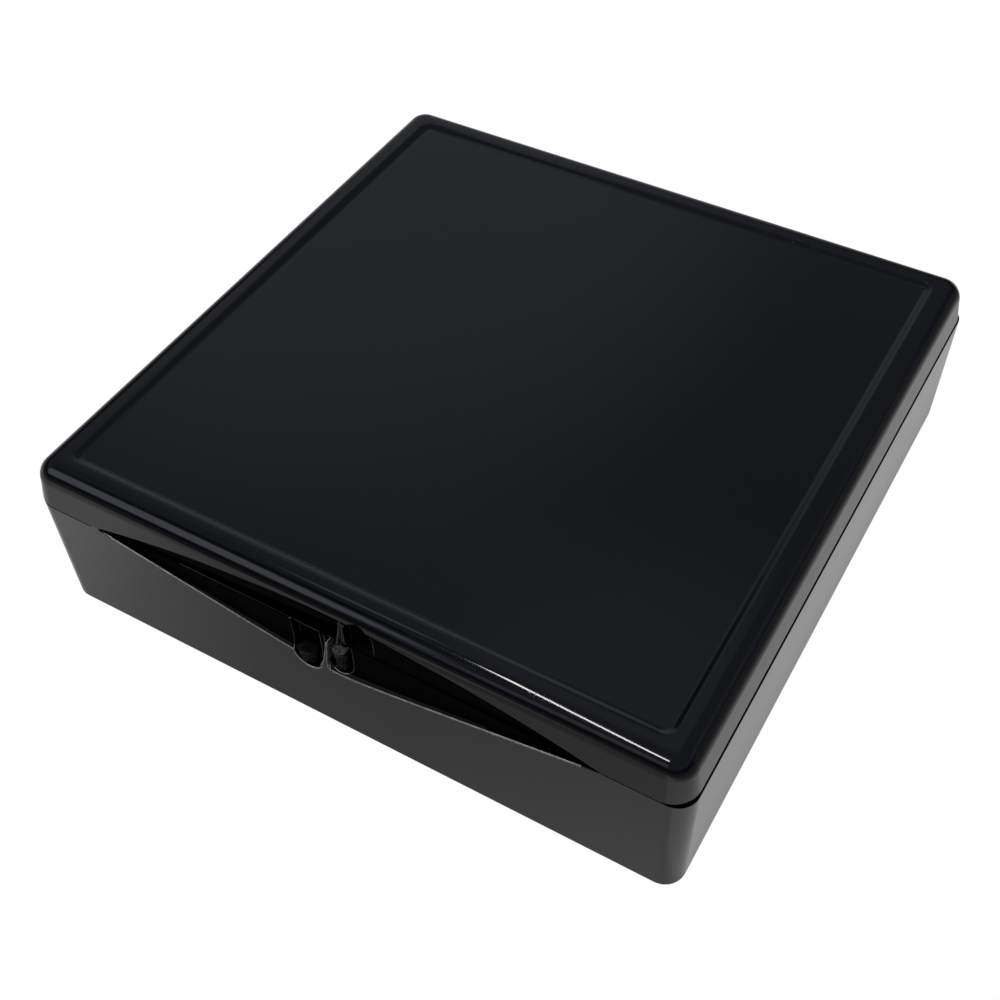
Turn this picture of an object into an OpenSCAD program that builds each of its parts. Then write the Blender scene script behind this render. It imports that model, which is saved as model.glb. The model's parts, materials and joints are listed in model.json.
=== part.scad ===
// Square hinged powder compact: a moulded base and lid on a rear pin hinge, with a
// mirror in the lid and a deck, powder pan, dust film and puff in the base.
// Millimetres. The origin is the centre of the base's underside; +Z is up, -Y is the
// front with the finger notch and +Y is the hinge.

/* [Case] */
// Width of the closed lid across the hinge line
case_w = 80; // [76:1:88]
// Depth of the closed case from the front wall to the back wall
case_d = 80.8; // [77:0.2:88]
// Height of the base up to the seam
base_h = 16.2; // [15.6:0.2:18]
// Height of the lid above the seam
lid_h = 5.2; // [5:0.1:7]
// Moulded wall thickness
wall = 1.6; // [1.4:0.1:2]
// Plan radius of the lid's corners at the seam
lid_corner_r = 3; // [2.6:0.1:4]
// Rounding between the lid's sides and its top
lid_round_r = 2.3; // [1.5:0.1:2.6]
// How far the lid's sides lean in over their height
lid_lean = 0.4; // [0.1:0.1:0.6]
// Plan radius of the base's corners
base_corner_r = 2.4; // [2:0.1:3.4]
// How far the base's sides draw in towards the bottom
base_draft = 0.24; // [0:0.04:0.4]
// How far the lid stands proud of the base all round
lid_proud = 0.08; // [0:0.02:0.2]
// Width of the flat border round the lid's sunk panel
panel_border = 4; // [3.5:0.1:6]
// Depth of the lid's sunk panel
panel_sink = 0.4; // [0.2:0.1:0.6]

/* [Finger notch] */
// Half the length of the notch along the front wall
notch_half = 31.5; // [24:0.5:34]
// Rise of the notch's arc in the lid
notch_rise = 3.65; // [2:0.05:3.8]
// Slope of the notch's straight flanks in the base
notch_slope = 0.2; // [0.12:0.01:0.24]
// How far the notch is set into the front wall
notch_set = 0.6; // [0.4:0.1:0.8]

/* [Hinge] */
// Outer radius of the hinge knuckles
knuckle_r = 1.7; // [1.5:0.1:2]
// Radius of the steel hinge pin
pin_r = 0.6; // [0.5:0.05:0.8]
// Length of the whole hinge barrel
barrel_len = 44; // [36:1:60]
// Knuckles along the barrel, counting both halves
knuckle_count = 5; // [3:2:7]
// Opening angle at which the lid's stop fins meet the base
stop_angle = 120; // [100:1:135]

/* [Inside] */
// Diameter of the well that holds the pan and the puff
well_d = 63; // [56:0.5:64]
// Outer diameter of the powder pan
pan_d = 62.2; // [54:0.2:63]
// Height of the powder pan
pan_h = 5.4; // [4:0.2:6]
// Diameter of the puff
puff_d = 61.4; // [52:0.2:62]
// Side of the square mirror
mirror_side = 70; // [64:0.5:72]
// Thickness of the mirror glass
mirror_t = 1.2; // [1:0.1:1.5]

/* [Hidden] */

$fn = 96;
hull_fn = 32;         // facets of a rounded corner inside a hull
eps = 0.01;
plastic = [0.05, 0.05, 0.055];

front_y = -case_d / 2;
back_y = case_d / 2;
seam_z = base_h;
top_z = base_h + lid_h;

base_w = case_w - 2 * lid_proud;
base_d = case_d - 2 * lid_proud;
bottom_ease = 0.3;    // small rounding round the base's underside

// Seam: an outer lip on the base stands round a tongue under the lid.
seam_gap = 0.05;
lip_t = 0.6;
lip_h = 0.5;
lip_gap = 0.1;

inner_w = case_w - 2 * wall;
inner_d = case_d - 2 * wall;
inner_r = 1.4;
floor_z = wall;
ceiling_z = top_z - panel_sink - 1.4;

// The middle of the front wall is thicker, to back the gate pockets.
boss_half = 7;
boss_y = front_y + 2.8;
pocket_set = 1.7;     // depth of the gate pockets
pocket_r = 1.75;
base_gate_x = -3.4;
base_gate_z = 11.1;
lid_gate_x = 3.25;
lid_gate_z = 18.1;
stub_r = 0.9;
stub_y = front_y + pocket_set - stub_r + 0.1;
stub_x = 1.3;         // the lid's gate stub hangs here, in the base's second pocket
stub_low_z = 11.6;
stub_clear = 0.4;
fin_t = 0.45;         // thin rib beside each gate pocket
base_fin_x = -0.9;
lid_fin_x = 1.1;
apex_blend = 0.6;     // softens the point between the base notch's flanks

// Hinge: the axis lies on the seam in the plane of the back wall.
axis_y = back_y;
axis_z = seam_z;
knuckle_gap = 0.2;
knuckle_len = barrel_len / knuckle_count;
relief_r = knuckle_r + 0.3;
pin_run = 0.05;       // running clearance in the lid's knuckles
fin_r = 2.6;          // reach of the stop fins from the axis
stop_t = 0.8;
rib_y = back_y - 2.8;
rib_h = 2.1;

// Deck and well
deck_top = 13.2;
deck_t = 1.4;
deck_gap = 0.35;
well_wall = 1.4;
skirt_h = 5;
relief_d = 14;        // thumb relief beside the well, towards the front right corner
relief_z = 8.4;
relief_at = 32;

// Stack in the well, from the floor up
adhesive_t = 0.4;
pan_z = floor_z + adhesive_t;
pan_wall = 0.5;
pan_top = pan_z + pan_h;
powder_crown = 0.25;
film_z = pan_top + 0.02;
film_t = 0.1;
puff_z = film_z + film_t + 0.05;
puff_face_h = 5.4;
puff_skin = 1.5;
puff_back_t = 0.8;
ribbon_w = 12;
ribbon_t = 0.35;
ribbon_rise = 1.3;

// Stack under the lid's ceiling
tape_side = mirror_side - 5;
tape_t = 0.4;
mirror_top = ceiling_z - tape_t;

module rounded_plan(w, d, r) {
    square([w - 2 * r, d], center = true);
    square([w, d - 2 * r], center = true);
    for (sx = [-1, 1], sy = [-1, 1])
        translate([sx * (w / 2 - r), sy * (d / 2 - r)]) circle(r);
}

module rounded_slab(w, d, r, z, h) {
    translate([0, 0, z]) linear_extrude(h) rounded_plan(w, d, r);
}

// Four thin posts that a hull turns into one level of a rounded block.
module level(w, d, r, z) {
    for (sx = [-1, 1], sy = [-1, 1])
        translate([sx * (w / 2 - r), sy * (d / 2 - r), z])
            cylinder(r = r, h = eps, $fn = hull_fn);
}

module along_x(x0, x1, r) {
    translate([x0, axis_y, axis_z]) rotate([0, 90, 0]) cylinder(r = r, h = x1 - x0);
}

// A block cut from the front wall's outer face inwards: a plan in X and Z.
module front_cut(depth) {
    translate([0, front_y + depth, 0]) rotate([90, 0, 0]) linear_extrude(depth + 1) children();
}

// Knuckles alternate, and the base has the outer ones.
function knuckle_x0(i) = -barrel_len / 2 + i * knuckle_len + knuckle_gap / 2;
function knuckle_x1(i) = -barrel_len / 2 + (i + 1) * knuckle_len - knuckle_gap / 2;
function is_base(i) = i % 2 == 0;

module knuckles(of_base, r, extra = 0) {
    for (i = [0 : knuckle_count - 1])
        if (is_base(i) == of_base)
            along_x(knuckle_x0(i) - extra, knuckle_x1(i) + extra, r);
}

// Height of the base's notch edge below the seam: two straight flanks, blended.
function notch_drop(x) =
    sqrt(pow(apex_blend, 2) + pow(notch_slope * notch_half, 2))
    - sqrt(pow(apex_blend, 2) + pow(notch_slope * x, 2));

module base_notch_plan() {
    step = notch_half / 24;
    edge = [for (x = [-notch_half : step : notch_half + eps]) [x, seam_z - notch_drop(x)]];
    polygon(concat(edge, [[notch_half, seam_z + 1], [-notch_half, seam_z + 1]]));
}

module lid_notch_plan() {
    arc_r = (pow(notch_half, 2) + pow(notch_rise, 2)) / (2 * notch_rise);
    intersection() {
        translate([0, seam_z + notch_rise - arc_r]) circle(arc_r, $fn = 720);
        translate([-notch_half, seam_z - 1]) square([2 * notch_half, notch_rise + 1]);
    }
}

// A round-ended slot from (x, z) to the level z_end.
module pocket_plan(x, z, r, z_end) {
    translate([x, z]) circle(r);
    translate([x - r, min(z, z_end)]) square([2 * r, abs(z_end - z)]);
}

module base_outside() {
    hull() {
        level(base_w - 2 * (base_draft + bottom_ease), base_d - 2 * (base_draft + bottom_ease),
              base_corner_r - bottom_ease, 0);
        level(base_w - 2 * base_draft, base_d - 2 * base_draft, base_corner_r, bottom_ease);
        level(base_w, base_d, base_corner_r, seam_z - eps);
    }
}

module base_shell() {
    color(plastic) difference() {
        union() {
            difference() {
                base_outside();
                rounded_slab(inner_w, inner_d, inner_r, floor_z, base_h);
            }
            translate([-boss_half, front_y + 1, floor_z - eps])
                cube([2 * boss_half, boss_y - front_y - 1, seam_z - lip_h - floor_z]);
            translate([-barrel_len / 2 - 1, rib_y, seam_z - lip_h - rib_h])
                cube([barrel_len + 2, back_y - rib_y - 1, rib_h]);
            knuckles(true, knuckle_r);
        }
        difference() {
            rounded_slab(base_w - 2 * lip_t, base_d - 2 * lip_t, base_corner_r - lip_t,
                         seam_z - lip_h, 5);
            knuckles(true, knuckle_r);
        }
        knuckles(false, relief_r, knuckle_gap / 2);
        along_x(-barrel_len / 2 - 1, barrel_len / 2 + 1, pin_r);
        difference() {
            union() {
                front_cut(notch_set) base_notch_plan();
                front_cut(pocket_set)
                    pocket_plan(base_gate_x, base_gate_z, pocket_r, seam_z + 1);
            }
            translate([base_fin_x - fin_t / 2, front_y, 0])
                cube([fin_t, pocket_set + 1, seam_z - 0.1]);
        }
        front_cut(pocket_set + stub_clear)
            pocket_plan(stub_x, stub_low_z, stub_r + stub_clear, seam_z + 1);
    }
    color(plastic) translate([base_gate_x, stub_y, base_gate_z - pocket_r])
        cylinder(r = stub_r, h = pocket_r + 1.3);
}

module lid_outside() {
    steps = 6;
    hull() {
        level(case_w, case_d, lid_corner_r, seam_z + seam_gap);
        for (i = [0 : steps]) {
            turn = 90 * i / steps;
            inset = lid_lean + lid_round_r * (1 - cos(turn));
            level(case_w - 2 * inset, case_d - 2 * inset, max(lid_corner_r - inset, 0.4),
                  top_z - eps - lid_round_r * (1 - sin(turn)));
        }
    }
}

module sunk_panel() {
    w = case_w - 2 * panel_border;
    d = case_d - 2 * panel_border;
    hull() {
        translate([0, 0, top_z + eps]) cube([w, d, eps], center = true);
        translate([0, 0, top_z - panel_sink])
            cube([w - panel_sink, d - panel_sink, eps], center = true);
    }
}

module stop_fins() {
    start = stop_angle - 90;
    for (i = [0 : knuckle_count - 1])
        if (!is_base(i))
            translate([knuckle_x0(i), axis_y, axis_z]) rotate([start, 0, 0])
                cube([knuckle_x1(i) - knuckle_x0(i), fin_r, stop_t]);
}

module lid_shell() {
    tongue_z = seam_z - lip_h + seam_gap;
    color(plastic) difference() {
        union() {
            difference() {
                union() {
                    lid_outside();
                    rounded_slab(case_w - 2 * (lip_t + lip_gap + lid_proud),
                                 case_d - 2 * (lip_t + lip_gap + lid_proud),
                                 base_corner_r - lip_t - lip_gap, tongue_z, 1);
                }
                rounded_slab(inner_w, inner_d, inner_r, tongue_z - 1, ceiling_z - tongue_z + 1);
            }
            translate([-boss_half, front_y + 1, tongue_z])
                cube([2 * boss_half, boss_y - front_y - 1, ceiling_z - tongue_z + eps]);
            translate([-barrel_len / 2 - 1, rib_y, tongue_z])
                cube([barrel_len + 2, back_y - rib_y - 1, ceiling_z - tongue_z + eps]);
            knuckles(false, knuckle_r);
            stop_fins();
        }
        sunk_panel();
        knuckles(true, relief_r, knuckle_gap / 2);
        knuckles(false, pin_r + pin_run, 1);
        difference() {
            union() {
                front_cut(notch_set) lid_notch_plan();
                front_cut(pocket_set)
                    pocket_plan(lid_gate_x, lid_gate_z, pocket_r, seam_z - 1);
            }
            translate([lid_fin_x - fin_t / 2, front_y + lid_lean, seam_z + seam_gap])
                cube([fin_t, pocket_set + 1, lid_h]);
        }
    }
    color(plastic) translate([stub_x, stub_y, stub_low_z])
        cylinder(r = stub_r, h = seam_z + 1.6 - stub_low_z);
}

module hinge_pin() {
    recess = 0.3;
    color("silver") along_x(-barrel_len / 2 + recess, barrel_len / 2 - recess, pin_r);
}

module inner_tray() {
    deck_w = inner_w - 2 * deck_gap;
    deck_d = inner_d - 2 * deck_gap;
    relief_x = relief_at * cos(45);
    color(plastic) difference() {
        union() {
            difference() {
                rounded_slab(deck_w, deck_d, inner_r, deck_top - skirt_h, skirt_h);
                rounded_slab(deck_w - 2, deck_d - 2, inner_r, deck_top - skirt_h - 1,
                             skirt_h - deck_t + 1);
            }
            translate([0, 0, floor_z]) cylinder(d = well_d + 2 * well_wall, h = deck_top - floor_z);
            translate([relief_x, -relief_x, relief_z - deck_t])
                cylinder(d = relief_d + 2 * well_wall, h = deck_top - relief_z + deck_t);
        }
        translate([0, 0, floor_z - 1]) cylinder(d = well_d, h = deck_top);
        translate([relief_x, -relief_x, relief_z]) cylinder(d = relief_d, h = deck_top);
        translate([0, 0, deck_top - 0.8]) cylinder(d1 = well_d, d2 = well_d + 1.7, h = 0.81);
        translate([-boss_half - deck_gap, front_y, 0])
            cube([2 * (boss_half + deck_gap), boss_y + deck_gap - front_y, deck_top + 1]);
    }
}

module pan_adhesive() {
    color("ivory") translate([0, 0, floor_z]) cylinder(d = pan_d - 8, h = adhesive_t);
}

module powder_pan() {
    color("silver") rotate_extrude()
        polygon([[0, pan_z], [pan_d / 2, pan_z], [pan_d / 2, pan_top],
                 [pan_d / 2 - pan_wall, pan_top], [pan_d / 2 - pan_wall, pan_z + pan_wall],
                 [0, pan_z + pan_wall]]);
}

module powder_cake() {
    r = pan_d / 2 - pan_wall;
    edge_z = pan_top - powder_crown;
    crown_r = (pow(r, 2) + pow(powder_crown, 2)) / (2 * powder_crown);
    crown = [for (x = [0 : 1 : 12]) [r * x / 12, edge_z + powder_crown - crown_r
             + sqrt(pow(crown_r, 2) - pow(r * x / 12, 2))]];
    color("bisque") rotate_extrude()
        polygon(concat([[0, pan_z + pan_wall]], crown, [[r, pan_z + pan_wall]]));
}

module cover_film() {
    color([0.9, 0.95, 1, 0.5]) translate([0, 0, film_z]) cylinder(d = pan_d, h = film_t);
}

module puff_face() {
    r = puff_d / 2;
    soft = puff_face_h / 2;
    color("linen") rotate_extrude() difference() {
        translate([0, puff_z]) union() {
            square([r - soft, puff_face_h]);
            translate([r - soft, soft]) circle(soft);
        }
        translate([-1, puff_z + puff_skin]) square([r - soft + 1, puff_face_h]);
        translate([-r, puff_z - 1]) square([r, puff_face_h + 2]);
    }
}

module puff_core() {
    color("khaki") translate([0, 0, puff_z + puff_skin])
        cylinder(d = puff_d - puff_face_h, h = puff_face_h - puff_skin);
}

module puff_back() {
    color("white") translate([0, 0, puff_z + puff_face_h])
        cylinder(d = puff_d - puff_face_h, h = puff_back_t);
}

module puff_ribbon() {
    span = puff_d - puff_face_h - 2;
    z = puff_z + puff_face_h + puff_back_t;
    arc_r = (pow(span / 2, 2) + pow(ribbon_rise, 2)) / (2 * ribbon_rise);
    color("white") translate([0, ribbon_w / 2, 0]) rotate([90, 0, 0]) linear_extrude(ribbon_w)
        intersection() {
            difference() {
                translate([0, z + ribbon_rise - arc_r + ribbon_t]) circle(arc_r, $fn = 360);
                translate([0, z + ribbon_rise - arc_r]) circle(arc_r, $fn = 360);
            }
            translate([-span / 2, z]) square([span, ribbon_rise + ribbon_t + 1]);
        }
}

module mirror_adhesive() {
    color("gray") rounded_slab(tape_side, tape_side, 1, mirror_top, tape_t);
}

module mirror() {
    color("lightblue") rounded_slab(mirror_side, mirror_side, 1.5, mirror_top - mirror_t, mirror_t);
}

base_shell();
lid_shell();
hinge_pin();
inner_tray();
pan_adhesive();
powder_pan();
powder_cake();
cover_film();
puff_face();
puff_core();
puff_back();
puff_ribbon();
mirror_adhesive();
mirror();
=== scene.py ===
"""Looks of a square hinged powder compact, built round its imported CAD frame. Metres, +Z up."""

import json
import math
import random

import bmesh
import bpy
from mathutils import Matrix, Vector, noise


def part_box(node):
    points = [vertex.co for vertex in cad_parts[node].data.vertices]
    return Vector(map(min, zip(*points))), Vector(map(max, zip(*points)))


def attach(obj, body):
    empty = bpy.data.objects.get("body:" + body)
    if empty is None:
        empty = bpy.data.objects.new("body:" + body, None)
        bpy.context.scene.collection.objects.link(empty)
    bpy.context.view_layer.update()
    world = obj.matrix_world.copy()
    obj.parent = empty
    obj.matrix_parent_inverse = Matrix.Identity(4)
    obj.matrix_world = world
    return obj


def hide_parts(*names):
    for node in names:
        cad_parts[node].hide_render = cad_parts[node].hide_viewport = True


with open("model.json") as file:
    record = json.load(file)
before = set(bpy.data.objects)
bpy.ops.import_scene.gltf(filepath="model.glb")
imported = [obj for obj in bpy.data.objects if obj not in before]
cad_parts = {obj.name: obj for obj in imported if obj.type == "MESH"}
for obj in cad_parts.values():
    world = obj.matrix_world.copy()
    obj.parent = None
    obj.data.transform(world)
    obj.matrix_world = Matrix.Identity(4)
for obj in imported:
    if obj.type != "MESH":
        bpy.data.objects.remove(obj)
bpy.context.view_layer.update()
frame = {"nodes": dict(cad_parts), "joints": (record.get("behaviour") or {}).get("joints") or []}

MM = 0.001

# ---------------------------------------------------------------- sizes read from the frame
HINGE = Vector(frame["joints"][0]["pos_m"])
LID_LO, LID_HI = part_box("lid_shell")
BASE_LO, BASE_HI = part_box("base_shell")
TRAY_LO, TRAY_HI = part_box("inner_tray")
PAN_LO, PAN_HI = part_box("powder_pan")
CAKE_LO, CAKE_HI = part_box("powder_cake")
FILM_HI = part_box("cover_film")[1]
FACE_LO, FACE_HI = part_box("puff_face")
BACK_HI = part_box("puff_back")[1]
BAND_LO, BAND_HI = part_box("puff_ribbon")
MIRROR_LO, MIRROR_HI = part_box("mirror")

CASE_W = LID_HI.x - LID_LO.x
FRONT_Y = LID_LO.y
BACK_Y = HINGE.y
CASE_D = BACK_Y - FRONT_Y
SEAM_Z = HINGE.z
TOP_Z = LID_HI.z
BASE_W = BASE_HI.x - BASE_LO.x
BASE_D = CASE_D - (CASE_W - BASE_W)

# ---------------------------------------------------------------- the moulding's own details
WALL = 1.6 * MM
LID_CORNER = 3.0 * MM
LID_ROUND = 2.3 * MM
LID_LEAN = 0.4 * MM
BASE_CORNER = 2.4 * MM
BASE_DRAFT = 0.24 * MM
BOTTOM_EASE = 0.3 * MM
PANEL_BORDER = 4.0 * MM
PANEL_SINK = 0.4 * MM
STEP_SPREAD = 0.6 * MM
SEAM_ROUND = 0.2 * MM
BASE_SHIFT = Vector((0.22 * MM, 0, 0))
TOP_T = 1.4 * MM
LIP_T = 0.6 * MM
LIP_H = 0.5 * MM
LIP_GAP = 0.1 * MM
SEAM_GAP = 0.05 * MM
INNER_CORNER = 1.4 * MM
EDGE = 0.13 * MM

# The finger notch, and the two pockets in it that hold the broken gates: (x, z) of each round end.
NOTCH_HALF = 31.5 * MM
NOTCH_RISE = 3.65 * MM
NOTCH_SLOPE = 0.2
NOTCH_SET = 0.6 * MM
APEX_BLEND = 0.6 * MM
LEDGE_HALF = 18.0 * MM
POCKET_SET = 1.7 * MM
POCKET_R = 1.75 * MM
BASE_GATE = (-3.4 * MM, 11.1 * MM)
LID_GATE = (3.4 * MM, 18.5 * MM)
ROOM = (0.7 * MM, 12.6 * MM)
ROOM_R = 1.6 * MM
STUB_X = 0.7 * MM
STUB_Z = (11.7 * MM, 14.5 * MM)
STUB_R = 0.86 * MM
# The moulding's ribs in the notch, as X and Z outlines: the base's cusp and the lid's fin.
CUSP = ((-2.0, 9.6), (-0.7, 10.4), (-0.78, 12.0), (-0.56, 13.4), (-0.27, 15.5), (-0.55, 15.7), (-1.0, 13.4),
        (-1.4, 11.6))
FIN = ((0.95, 16.3), (1.2, 16.3), (1.65, 20.6), (1.35, 20.6))
BOSS_HALF = 7.0 * MM
BOSS_IN = 2.8 * MM

KNUCKLE_R = 1.7 * MM
RELIEF_R = 2.0 * MM
PIN_R = 0.6 * MM
PIN_RUN = 0.05 * MM
BARREL = 44.0 * MM
KNUCKLES = 5
KNUCKLE_GAP = 0.2 * MM
STOP_R = 2.6 * MM
STOP_T = 0.8 * MM
STOP_AT = 30.0
RIB_H = 2.1 * MM

WELL_R = 31.5 * MM
WELL_WALL = 1.4 * MM
DECK_T = 1.4 * MM
RELIEF_PLACE = 32.0 * MM * math.cos(math.radians(45))
THUMB_R = 7.0 * MM
THUMB_Z = 8.4 * MM

CORNER_STEPS = 12
ROUND_STEPS = 14


# ---------------------------------------------------------------- mesh helpers
def mesh_object(name, bm):
    """A new object from a bmesh, with its normals pointing out."""
    bmesh.ops.recalc_face_normals(bm, faces=bm.faces)
    mesh = bpy.data.meshes.new(name)
    bm.to_mesh(mesh)
    bm.free()
    obj = bpy.data.objects.new(name, mesh)
    bpy.context.scene.collection.objects.link(obj)
    return obj


def rounded_ring(w, d, r, z):
    """Points round a rounded rectangle centred on the origin, at one height."""
    points = []
    for k, (sx, sy) in enumerate(((1, 1), (-1, 1), (-1, -1), (1, -1))):
        cx, cy = sx * (w / 2 - r), sy * (d / 2 - r)
        for i in range(CORNER_STEPS + 1):
            a = math.radians(90 * k + 90 * i / CORNER_STEPS)
            points.append(Vector((cx + r * math.cos(a), cy + r * math.sin(a), z)))
    return points


def round_ring(radius, z, steps, x=0.0, y=0.0):
    return [Vector((x + radius * math.cos(math.tau * i / steps),
                    y + radius * math.sin(math.tau * i / steps), z)) for i in range(steps)]


def loft(name, rings):
    """Skins a list of rings that have equal point counts, and closes both ends."""
    bm = bmesh.new()
    rows = [[bm.verts.new(p) for p in ring] for ring in rings]
    count = len(rows[0])
    for low, high in zip(rows, rows[1:]):
        for i in range(count):
            j = (i + 1) % count
            bm.faces.new((low[i], low[j], high[j], high[i]))
    bm.faces.new(rows[0])
    bm.faces.new(rows[-1])
    return mesh_object(name, bm)


def lathe(name, profile, steps=128):
    """Turns (radius, height) points round Z. Radius 0 at an end makes a pole."""
    bm = bmesh.new()
    rows = []
    for r, z in profile:
        if r < 1e-9:
            rows.append([bm.verts.new((0, 0, z))])
        else:
            rows.append([bm.verts.new(p) for p in round_ring(r, z, steps)])
    for low, high in zip(rows, rows[1:]):
        for i in range(steps):
            j = (i + 1) % steps
            if len(low) == 1:
                bm.faces.new((low[0], high[j], high[i]))
            elif len(high) == 1:
                bm.faces.new((low[i], low[j], high[0]))
            else:
                bm.faces.new((low[i], low[j], high[j], high[i]))
    return mesh_object(name, bm)


def prism(name, outline, place, u, v, along, length):
    """Extrudes a closed 2-D outline, given on the axes u and v, by length along a direction."""
    bm = bmesh.new()
    near = [bm.verts.new(place + u * a + v * b) for a, b in outline]
    far = [bm.verts.new(p.co + along * length) for p in near]
    bm.faces.new(near)
    bm.faces.new(far)
    for i in range(len(near)):
        j = (i + 1) % len(near)
        bm.faces.new((near[i], near[j], far[j], far[i]))
    return mesh_object(name, bm)


def block(name, lo, hi):
    outline = ((0, 0), (hi.x - lo.x, 0), (hi.x - lo.x, hi.y - lo.y), (0, hi.y - lo.y))
    return prism(name, outline, lo, Vector((1, 0, 0)), Vector((0, 1, 0)), Vector((0, 0, 1)), hi.z - lo.z)


def rod_x(name, x0, x1, y, z, radius, steps=64):
    outline = [(radius * math.cos(math.tau * i / steps), radius * math.sin(math.tau * i / steps))
               for i in range(steps)]
    return prism(name, outline, Vector((x0, y, z)), Vector((0, 1, 0)), Vector((0, 0, 1)),
                 Vector((1, 0, 0)), x1 - x0)


def front_prism(name, outline, depth):
    """A cutter that goes from in front of the case to a depth behind its front wall: X and Z outline."""
    reach = 1 * MM
    return prism(name, outline, Vector((0, FRONT_Y - reach, 0)), Vector((1, 0, 0)), Vector((0, 0, 1)),
                 Vector((0, 1, 0)), depth + reach)


def bake(obj):
    """Applies an object's modifiers."""
    graph = bpy.context.evaluated_depsgraph_get()
    mesh = bpy.data.meshes.new_from_object(obj.evaluated_get(graph))
    obj.modifiers.clear()
    old, obj.data = obj.data, mesh
    bpy.data.meshes.remove(old)
    return obj


def combine(obj, tools, operation):
    """Adds or cuts each tool in turn, and removes the tools."""
    for tool in tools:
        step = obj.modifiers.new(operation, "BOOLEAN")
        step.operation = operation
        step.solver = "EXACT"
        step.material_mode = "TRANSFER"
        step.object = tool
        bake(obj)
        bpy.data.objects.remove(tool)
    return obj


def weld(obj, distance):
    bm = bmesh.new()
    bm.from_mesh(obj.data)
    bmesh.ops.remove_doubles(bm, verts=bm.verts, dist=distance)
    bm.to_mesh(obj.data)
    bm.free()


def smooth(obj, angle=32.0):
    """Smooth shading with sharp edges over an angle, weighted so that flat faces stay flat."""
    bm = bmesh.new()
    bm.from_mesh(obj.data)
    limit = math.radians(angle)
    for edge in bm.edges:
        edge.smooth = len(edge.link_faces) == 2 and edge.calc_face_angle(math.pi) < limit
    for face in bm.faces:
        face.smooth = True
    bm.to_mesh(obj.data)
    bm.free()
    weigh = obj.modifiers.new("weigh", "WEIGHTED_NORMAL")
    weigh.keep_sharp = True
    weigh.weight = 80
    return obj


def ease_edges(obj, width, angle=40.0, segments=2, finish_or_highlight=0):
    """Rounds the moulded edges that are sharper than an angle. The rounding takes one material slot, which on
    the base is the pale painted highlight.
    """
    weld(obj, 0.004 * MM)
    bevel = obj.modifiers.new("ease", "BEVEL")
    bevel.limit_method = "ANGLE"
    bevel.angle_limit = math.radians(angle)
    bevel.width = width
    bevel.segments = segments
    bevel.use_clamp_overlap = False
    bevel.miter_outer = "MITER_ARC"
    bevel.material = finish_or_highlight
    bake(obj)
    return smooth(obj)


# ---------------------------------------------------------------- shader helpers
class Shader:
    """A few short calls over a material's node tree, or over the world's when it is given."""

    def __init__(self, name, world=None):
        self.material = world or bpy.data.materials.new(name)
        self.material.use_nodes = True
        self.tree = self.material.node_tree
        self.bsdf = self.tree.nodes.get("Principled BSDF")

    def node(self, kind, **values):
        made = self.tree.nodes.new(kind)
        for key, value in values.items():
            setattr(made, key, value)
        return made

    def link(self, source, target):
        self.tree.links.new(source, target)

    def place(self):
        """Coordinates in metres that stay with the piece's own mesh."""
        return self.node("ShaderNodeTexCoord").outputs["Object"]

    def noise(self, scale, detail=3.0, rough=0.5, distort=0.0, at=None):
        made = self.node("ShaderNodeTexNoise")
        made.inputs["Scale"].default_value = scale
        made.inputs["Detail"].default_value = detail
        made.inputs["Roughness"].default_value = rough
        made.inputs["Distortion"].default_value = distort
        self.link(at or self.place(), made.inputs["Vector"])
        return made.outputs["Fac"]

    def stretch(self, scale, rotate=(0, 0, 0)):
        made = self.node("ShaderNodeMapping")
        made.inputs["Scale"].default_value = scale
        made.inputs["Rotation"].default_value = rotate
        self.link(self.place(), made.inputs["Vector"])
        return made.outputs["Vector"]

    def remap(self, value, low, high, to_low, to_high, curve="LINEAR"):
        made = self.node("ShaderNodeMapRange", interpolation_type=curve)
        for name, number in (("From Min", low), ("From Max", high), ("To Min", to_low), ("To Max", to_high)):
            made.inputs[name].default_value = number
        self.link(value, made.inputs["Value"])
        return made.outputs["Result"]

    def math(self, operation, *values):
        made = self.node("ShaderNodeMath", operation=operation)
        for socket, value in zip(made.inputs, values):
            if isinstance(value, (int, float)):
                socket.default_value = value
            else:
                self.link(value, socket)
        return made.outputs[0]

    def mix(self, factor, a, b):
        made = self.node("ShaderNodeMix", data_type="RGBA")
        for socket, value in ((made.inputs[0], factor), (made.inputs[6], a), (made.inputs[7], b)):
            if isinstance(value, (int, float, tuple)):
                socket.default_value = value
            else:
                self.link(value, socket)
        return made.outputs[2]

    def bump(self, height, strength, distance, after=None):
        made = self.node("ShaderNodeBump")
        made.inputs["Strength"].default_value = strength
        made.inputs["Distance"].default_value = distance
        self.link(height, made.inputs["Height"])
        if after is not None:
            self.link(after, made.inputs["Normal"])
        return made.outputs["Normal"]

    def set(self, **values):
        for key, value in values.items():
            socket = self.bsdf.inputs[key.replace("_", " ")]
            if isinstance(value, (int, float, tuple)):
                socket.default_value = value
            else:
                self.link(value, socket)
        return self.material


def specks(shader, scale, size, share):
    """A mask of sparse tiny dots: dust, or powder grains."""
    cells = shader.node("ShaderNodeTexVoronoi")
    cells.inputs["Scale"].default_value = scale
    shader.link(shader.place(), cells.inputs["Vector"])
    near = shader.math("LESS_THAN", cells.outputs["Distance"], size)
    parts = shader.node("ShaderNodeSeparateColor")
    shader.link(cells.outputs["Color"], parts.inputs["Color"])
    chosen = shader.math("LESS_THAN", parts.outputs["Red"], share)
    return shader.math("MULTIPLY", near, chosen)


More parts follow.
